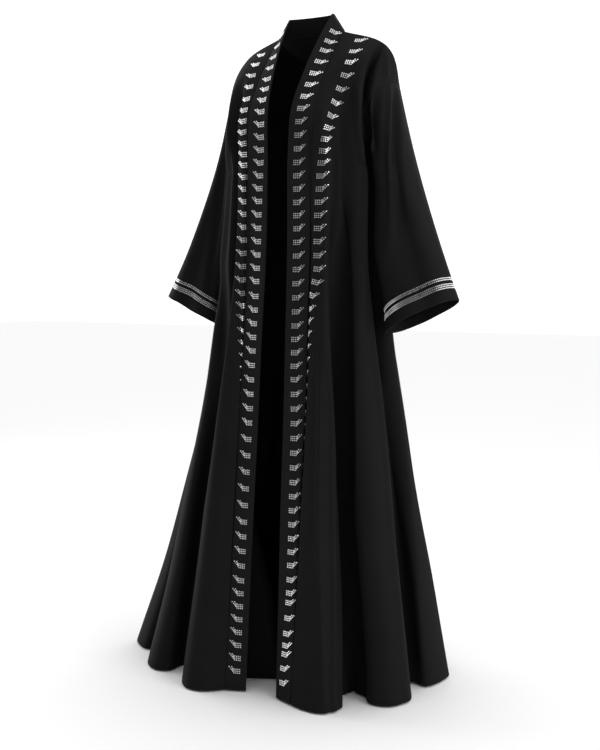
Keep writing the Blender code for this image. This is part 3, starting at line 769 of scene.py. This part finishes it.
def cloth_object(name, cloth, material):
    shift = draw_in(cloth["grid"], cloth["closed"], SEAM_SLIT)
    points = np.vstack([(cloth[key] + shift).reshape(-1, 3) for key in ("face", "back")])
    faces = shell_faces(*cloth["face"].shape[:2], cloth["closed"])
    thing = mesh_object(name + "_cloth", points, faces, material)
    shell = bmesh.new()
    shell.from_mesh(thing.data)
    bmesh.ops.recalc_face_normals(shell, faces=shell.faces)
    shell.to_mesh(thing.data)
    shell.free()
    return thing


def garment():
    cloths = {}
    makers = (("front", front_fine, -1.0), ("back", back_fine, 1.0), ("band", band_fine, -1.0),
              ("sleeve", sleeve_fine, 1.0))
    for side, turned in (("left", 1.0), ("right", -1.0)):
        for kind, fine, facing in makers:
            cloths[kind + "_" + side] = {"grid": mirrored(fine(side), side),
                                         "closed": kind == "sleeve", "facing": facing * turned}
    cloths["band_neck"] = {"grid": neck_fine(), "closed": False, "facing": -1.0}
    for cloth in cloths.values():
        cloth["normal"] = normals_of(cloth)
    share_normals(cloths)
    for cloth in (cloths["front_left"], cloths["front_right"]):
        cloth["normal"] = unit(eased(cloth["normal"], np.ones(cloth["grid"].shape[:2]), WAY_ROUNDS))
    share_normals(cloths)
    paths = crease_paths()
    for name, cloth in cloths.items():
        moved = relief(name, cloth["grid"], paths)
        cloth["grid"] = cloth["grid"] + cloth["normal"] * moved[..., None]
        if name.startswith("front"):
            deep = smooth_step((np.abs(moved) - DEEP) / DEEP)
            cloth["grid"] = np.array([spread(row, FRONT_NEAR, FRONT_EVEN, EDGE_GAPS)
                                      for row in eased(cloth["grid"], deep, DEEP_ROUNDS)])
        cloth["normal"] = normals_of(cloth)
    share_normals(cloths)
    for name, cloth in cloths.items():
        finish_face(name, cloth)
    return cloths


# ---- places on the cloth ----
WAY_REACH = 0.001  # how far to each side the way of a line is read


def line_at(away, run, sheets):
    """Each sheet read at a distance along each of its rows, where run gives its points' own."""
    away = np.broadcast_to(away, len(run))
    column = np.array([np.interp(at, row, np.arange(len(row))) for at, row in zip(away, run)])
    low = np.minimum(column.astype(int), run.shape[1] - 2)
    part, row = (column - low)[:, None], np.arange(len(run))
    return tuple(sheet[row, low] * (1 - part) + sheet[row, low + 1] * part for sheet in sheets)


def line_down(cloth, across):
    """Points and normals at a distance from the first column, a row at a time."""
    return line_at(across, from_edges(cloth["grid"])[0], (cloth["face"], cloth["normal"]))


def line_round(cloth, up):
    """Points and normals at one distance from the last row, a column at a time."""
    turned = (cloth[key][::-1].transpose(1, 0, 2) for key in ("face", "normal"))
    return line_at(up, from_edges(cloth["grid"])[3][::-1].T, turned)


def frames_at(line, at):
    """Point, way along the line and normal at each distance."""
    points, normals = line
    run = lengths(points)
    normal = unit(read_off(at, run, normals))
    way = read_off(at + WAY_REACH, run, points) - read_off(at - WAY_REACH, run, points)
    way = unit(way - normal * np.sum(way * normal, axis=1, keepdims=True))
    return read_off(at, run, points), way, normal


def frames_evenly(line, step, closed, fit):
    """Frames a step apart, where fit makes the number of them whole."""
    if closed:
        line = tuple(np.vstack([part, part[:1]]) for part in line)
    total = lengths(line[0])[-1]
    count = fit(total / step)
    return frames_at(line, (np.arange(count) + 0.5) * total / count)


def copies(shape, faces, frames):
    """One shape, set down at every frame: its x along the line, its z along the normal."""
    spot, way, normal = frames
    side = np.cross(normal, way)
    turn = np.stack([way, side, normal], axis=1)
    points = spot[:, None] + np.einsum("vi,nij->nvj", shape, turn)
    steps = (np.arange(len(spot)) * len(shape))[:, None, None]
    return points.reshape(-1, 3), (np.asarray(faces)[None] + steps).reshape(-1, np.shape(faces)[1])


def together(frames):
    return tuple(np.vstack(part) for part in zip(*frames))


# ---- studs ----
STUD, STUD_HEIGHT, STUD_SIDES = 0.0032, 0.0012, 8
STUD_SUNK, STUD_SHOULDER = 0.12, (0.62, 0.85)  # in shares of its height, and of radius and height
STUD_COVER = 0.0001  # least cloth left behind a stud
PITCH = 0.0041  # from stud to stud in a motif
# One motif, in steps of PITCH: out from the opening and up
MOTIF = tuple((out, up) for up in range(3) for out in range(4)) + (
    (3.65, 0.8), (4.35, 1.6), (5.05, 2.35), (5.8, 3.1), (3.75, 2.35), (4.4, 3.1), (3.7, 1.55))
MOTIF_MIDDLE = 1.0  # steps up, at which a motif's place is measured
MOTIF_HALF = 2.5 * PITCH  # and how far out
# Where the motifs stand: motif number; distance down from the shoulder seam
COLUMNS = {
    "band_left": ((0, 0.027), (1, 0.058), (2, 0.0863), (4, 0.1545), (6, 0.2153), (11, 0.3549),
        (16, 0.4915), (19, 0.5766), (23, 0.6946), (27, 0.8072), (34, 1.0234), (38, 1.1414),
        (40, 1.1976), (41, 1.2281), (42, 1.2559), (43, 1.2763), (45, 1.3423), (46, 1.3678),
        (47, 1.3865), (49, 1.4484)),
    "band_right": ((0, 0.028), (1, 0.064), (2, 0.099), (4, 0.165), (8, 0.277), (14, 0.438),
        (20, 0.608), (21, 0.64), (25, 0.757), (30, 0.912), (33, 1.018), (36, 1.126), (40, 1.253),
        (47, 1.45)),
    "front_left": ((0, 0.022), (1, 0.0625), (2, 0.094), (3, 0.1265), (4, 0.1585), (5, 0.191),
        (6, 0.222), (7, 0.25), (9, 0.2995), (10, 0.324), (12, 0.377), (14, 0.431), (16, 0.485),
        (17, 0.514), (19, 0.5705), (21, 0.6275), (23, 0.681), (30, 0.875), (45, 1.3)),
    "front_right": ((0, 0.038), (1, 0.073), (2, 0.11), (3, 0.145), (4, 0.179), (5, 0.2085),
        (6, 0.235), (8, 0.2835), (10, 0.329), (12, 0.38), (14, 0.433), (16, 0.4885), (18, 0.5455),
        (20, 0.6035), (22, 0.657), (30, 0.883), (46, 1.333)),
}
# How far the first studs of a column lie from the band's free edge, or from the band seam on the
# front: distance down; distance across
STARTS = {
    "band_left": ((0.81, 0.0155), (0.87, 0.018), (0.93, 0.0198), (1.05, 0.0222), (1.17, 0.0232),
        (1.275, 0.023), (1.31, 0.021), (1.34, 0.0202), (1.385, 0.0175), (1.417, 0.0155),
        (1.45, 0.012)),
    "band_right": ((0.2, 0.007), (0.25, 0.0105), (0.3, 0.009), (0.36, 0.0105), (0.41, 0.0125),
        (0.47, 0.015), (0.52, 0.0155)),
    "front_left": ((0.0, 0.039), (0.06, 0.04), (0.1, 0.0395), (0.13, 0.0385), (0.165, 0.036),
        (0.197, 0.035), (0.2265, 0.0338), (0.2512, 0.0308), (0.276, 0.026), (0.302, 0.0225),
        (0.33, 0.0215), (0.3535, 0.019), (0.3805, 0.0186), (0.4075, 0.0175), (0.434, 0.0157),
        (0.488, 0.0165), (0.518, 0.0182), (0.56, 0.022)),
    "front_right": ((0.08, 0.0215), (0.107, 0.017), (0.142, 0.0115), (0.176, 0.0095),
        (0.2055, 0.007), (0.256, 0.0055), (0.302, 0.0055), (0.35, 0.0065), (0.4, 0.0085),
        (0.4565, 0.0125), (0.512, 0.0175), (0.573, 0.0215), (0.6, 0.022)),
}
CUFF_ROWS = (0.0270, 0.0312, 0.0354, 0.0450, 0.0492)  # up from the edge of the cuff
CUFF_STEP = 0.0042


def stud_shape():
    """A faceted stud: rim, shoulder and top, closed below."""
    turn = np.arange(STUD_SIDES) * 2 * math.pi / STUD_SIDES
    ring = np.stack([np.cos(turn), np.sin(turn), 0 * turn], axis=1) * STUD / 2
    lift = np.array([0, 0, STUD_HEIGHT])
    shoulder = ring * STUD_SHOULDER[0] + lift * STUD_SHOULDER[1]
    points = np.vstack([ring - lift * STUD_SUNK, shoulder, [lift]])
    n = STUD_SIDES
    top = 2 * n
    faces = [(k, (k + 1) % n, n + (k + 1) % n) for k in range(n)]
    faces += [(k, n + (k + 1) % n, n + k) for k in range(n)]
    faces += [(n + k, n + (k + 1) % n, top) for k in range(n)]
    faces += [(0, k + 1, k) for k in range(1, n - 1)]
    return points, faces


def seated(frames, cloth):
    """Lifts the studs whose rims would come out on the wrong side, where the cloth bends sharply."""
    spot, way, normal = frames
    faces = grid_faces(*cloth["back"].shape[:2], cloth["closed"])[1]
    tree = BVHTree.FromPolygons(cloth["back"].reshape(-1, 3).tolist(), faces.tolist())
    facing = cloth["normal"].reshape(-1, 3)[faces[:, 0]]
    rim = stud_shape()[0][:STUD_SIDES]
    lift = np.zeros(len(spot))
    for index, (at, ahead, out) in enumerate(zip(spot, way, normal)):
        for x, y, z in rim:
            point = at + x * ahead + y * np.cross(out, ahead) + z * out
            _, _, found, depth = tree.ray_cast(Vector(point), Vector(out), STUD)
            if found is not None and facing[found] @ out > 0:
                lift[index] = max(lift[index], depth + STUD_COVER)
    return spot + normal * lift[:, None], way, normal


def column_start(name, cloth):
    """The distance across at which a column begins, for each row of the cloth."""
    return looked_up(STARTS[name], lengths(cloth["grid"][:, 0]))


def motif_frames(name, cloth):
    """Studs of a column of motifs, at distances down from the first row.

    The rows of the cloth slant near the shoulder, and the motifs stand square to its edge.
    """
    start = column_start(name, cloth)
    places = looked_up(COLUMNS[name], np.arange(COLUMNS[name][-1][0] + 1))
    edge, middle = line_down(cloth, 0.0)[0], line_down(cloth, start + MOTIF_HALF)[0]
    down = unit(np.gradient(line_down(cloth, np.median(start) + MOTIF_HALF)[0], axis=0))
    slant = np.sum(down * unit(middle - edge), axis=1)
    square = np.sqrt(1 - slant ** 2)
    run, rows = lengths(middle), np.arange(len(middle))
    found = []
    for out, up in MOTIF:
        away = start + out * PITCH
        line = line_down(cloth, away / square)
        lean = np.interp(places, run, slant / square) * (out * PITCH - MOTIF_HALF)
        row = np.interp(places - (up - MOTIF_MIDDLE) * PITCH - lean, run, rows)
        found.append(frames_at(line, np.interp(row, rows, lengths(line[0]))))
    return together(found)


def cuff_frames(cloth):
    return together([frames_evenly(line_round(cloth, up), CUFF_STEP, True, round) for up in CUFF_ROWS])


# ---- stitching ----
STITCH, STITCH_GAP, THREAD = 0.0026, 0.0008, 0.0005


def stitch_shape():
    points = [(-STITCH / 2, 0, -THREAD / 2), (STITCH / 2, 0, -THREAD / 2), (0, -THREAD / 2, 0),
              (0, THREAD / 2, 0), (0, 0, THREAD / 2), (0, 0, -THREAD)]
    faces = [(0, 2, 4), (0, 4, 3), (0, 3, 5), (0, 5, 2), (1, 4, 2), (1, 3, 4), (1, 5, 3), (1, 2, 5)]
    return np.array(points), faces


# ---- materials ----
def new_material(name, colour, roughness, specular, metallic=0.0):
    material = bpy.data.materials.new(name)
    material.use_nodes = True
    shader = material.node_tree.nodes["Principled BSDF"]
    for key, value in {"Base Color": (*colour, 1.0), "Roughness": roughness,
                       "Specular IOR Level": specular, "Metallic": metallic}.items():
        shader.inputs[key].default_value = value
    return material, shader


def node(tree, kind, **values):
    """A new node, with its own settings and its inputs' values."""
    made = tree.nodes.new(kind)
    for key, value in values.items():
        socket = key.replace("_", " ")
        if socket in made.inputs:
            made.inputs[socket].default_value = value
        else:
            setattr(made, key, value)
    return made


def join(tree, *links):
    """Links of the giving node and its output to the taking node and its input."""
    for giver, out, taker, into in links:
        tree.links.new(giver.outputs[out], taker.inputs[into])


CREPE_SPECULAR = 0.03
UNEVEN = 0.06  # how far the crepe's roughness varies


def crepe(name, dark, light, roughness):
    """Black crepe: a fine pebbled grain, slightly uneven in depth of colour and in sheen."""
    material, shader = new_material(name, light, roughness, CREPE_SPECULAR)
    tree = material.node_tree
    place_of = node(tree, "ShaderNodeTexCoord")
    cloud = node(tree, "ShaderNodeTexNoise", Scale=16.0, Detail=3.0, Roughness=0.6)
    mix = node(tree, "ShaderNodeMix", data_type="RGBA", A=(*dark, 1.0), B=(*light, 1.0))
    grain = node(tree, "ShaderNodeTexNoise", Scale=1500.0, Detail=2.0, Roughness=0.5)
    rough = node(tree, "ShaderNodeMapRange", To_Min=roughness - UNEVEN, To_Max=roughness + UNEVEN)
    bump = node(tree, "ShaderNodeBump", Strength=0.35, Distance=0.0003)
    join(tree, (place_of, "Object", cloud, "Vector"), (place_of, "Object", grain, "Vector"),
         (cloud, "Fac", mix, "Factor"), (mix, "Result", shader, "Base Color"),
         (cloud, "Fac", rough, "Value"), (rough, "Result", shader, "Roughness"),
         (grain, "Fac", bump, "Height"), (bump, "Normal", shader, "Normal"))
    return material


def silver():
    material, shader = new_material("stud_silver", (0.92, 0.92, 0.93), 0.30, 0.5, 1.0)
    tree = material.node_tree
    place_of = node(tree, "ShaderNodeTexCoord")
    noise = node(tree, "ShaderNodeTexNoise", Scale=260.0, Detail=1.0)
    rough = node(tree, "ShaderNodeMapRange", To_Min=0.18, To_Max=0.42)
    join(tree, (place_of, "Object", noise, "Vector"), (noise, "Fac", rough, "Value"),
         (rough, "Result", shader, "Roughness"))
    return material


# ---- the pieces ----
def ride(piece, *nodes):
    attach(piece, "root")
    if nodes:
        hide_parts(*nodes)
    return piece


cloths = garment()
black = crepe("black_crepe", (0.0070, 0.0070, 0.0072), (0.0100, 0.0100, 0.0103), 0.60)
band_black = crepe("black_crepe_band", (0.0085, 0.0085, 0.0088), (0.0115, 0.0115, 0.0118), 0.56)
stud_metal = silver()
thread, _ = new_material("black_thread", (0.012, 0.012, 0.013), 0.5, 0.3)

for name, cloth in cloths.items():
    kind = name.split("_")[0]
    ride(cloth_object(name, cloth, band_black if kind == "band" else black), name)

stud, stud_faces = stud_shape()
stitch, stitch_faces = stitch_shape()
extras = {name: [] for name in cloths}


def add_studs(name, frames, label):
    points, faces = copies(stud, stud_faces, seated(frames, cloths[name]))
    extras[name].append(ride(mesh_object(label, points, faces, stud_metal, sharp=20.0)))


def add_stitches(name, *lines, closed=False):
    frames = [frames_evenly(line, STITCH + STITCH_GAP, closed, int) for line in lines]
    points, faces = copies(stitch, stitch_faces, together(frames))
    extras[name].append(ride(mesh_object(name + "_stitching", points, faces, thread, sharp=60.0)))


for side in ("left", "right"):
    front, back, band, sleeve = (kind + "_" + side for kind in ("front", "back", "band", "sleeve"))
    add_studs(band, motif_frames(band, cloths[band]), "studs_band_" + side)
    add_studs(front, motif_frames(front, cloths[front]), "studs_front_" + side)
    add_studs(sleeve, cuff_frames(cloths[sleeve]), "studs_cuff_" + side)
    start = column_start(front, cloths[front])
    inner, outer = (line_down(cloths[front], start + away) for away in TAPE)
    add_stitches(band, line_down(cloths[band], FOLD_LINE))
    add_stitches(front, inner, tuple(part[DOWNS < TAPE_SEEN] for part in outer),
                 line_round(cloths[front], TURNING))
    add_stitches(back, line_round(cloths[back], TURNING))
    add_stitches(sleeve, line_round(cloths[sleeve], CUFF_TURNING), closed=True)

# ---- studio ----
FLOOR_Z = HEM_Z - 0.004
FLOOR_REACH = 14.0
ROOM_FRONT = (-0.10, -0.99, 0.08)  # the dimmer side of the room
# How squarely a way faces that side, from and to, and how bright the room is there
ROOM_LIGHT = {"From_Min": 0.05, "From_Max": 0.92, "To_Min": 1.25, "To_Max": 0.24}
# name; where; width and height; power
LIGHTS = (
    ("left_box", (3.0, -0.9, -0.1), (1.6, 2.6), 32.0),
    ("right_box", (-3.0, -0.4, -0.3), (1.6, 2.4), 29.0),
    ("front_box", (0.1, -0.9, 1.2), (0.5, 0.4), 3.0),
)
LIT = (0, 0, -0.7)  # the place at which the lights aim
CAMERA_AT = (1.0640, -2.0015, -0.5330)
CAMERA_TURN = (84.49, 0.0, 28.56)
CAMERA_LENS, CAMERA_SENSOR, CAMERA_NEAR = 48.1, 36.0, 0.05


def studio():
    white, _ = new_material("floor_white", (0.94, 0.94, 0.94), 0.9, 0.1)
    reaches = (-FLOOR_REACH, FLOOR_REACH)
    corners = [(x, y, FLOOR_Z) for x in reaches for y in reaches]
    floor = mesh_object("floor", corners, [(0, 2, 3, 1)], white)
    world = bpy.data.worlds.new("studio")
    bpy.context.scene.world = world
    world.use_nodes = True
    tree = world.node_tree
    background = tree.nodes["Background"]
    background.inputs["Color"].default_value = (1.0, 1.0, 1.0, 1.0)
    way = node(tree, "ShaderNodeTexCoord")
    facing = node(tree, "ShaderNodeVectorMath", operation="DOT_PRODUCT")
    facing.inputs[1].default_value = ROOM_FRONT
    dim = node(tree, "ShaderNodeMapRange", interpolation_type="SMOOTHSTEP", **ROOM_LIGHT)
    join(tree, (way, "Generated", facing, 0), (facing, "Value", dim, "Value"),
         (dim, "Result", background, "Strength"))
    for name, place_at, size, power in LIGHTS:
        light = bpy.data.lights.new(name, "AREA")
        light.shape = "RECTANGLE"
        light.size, light.size_y = size
        light.energy = power
        lamp = put(name, light)
        lamp.location = place_at
        lamp.rotation_euler = (Vector(LIT) - Vector(place_at)).to_track_quat("-Z", "Y").to_euler()
    bpy.context.scene.view_settings.view_transform = "Standard"


def camera():
    lens = bpy.data.cameras.new("camera")
    lens.lens = CAMERA_LENS
    lens.sensor_width = CAMERA_SENSOR
    lens.clip_start = CAMERA_NEAR
    view = put("camera", lens)
    view.location = CAMERA_AT
    view.rotation_euler = [math.radians(turn) for turn in CAMERA_TURN]
    bpy.context.scene.camera = view


studio()
camera()
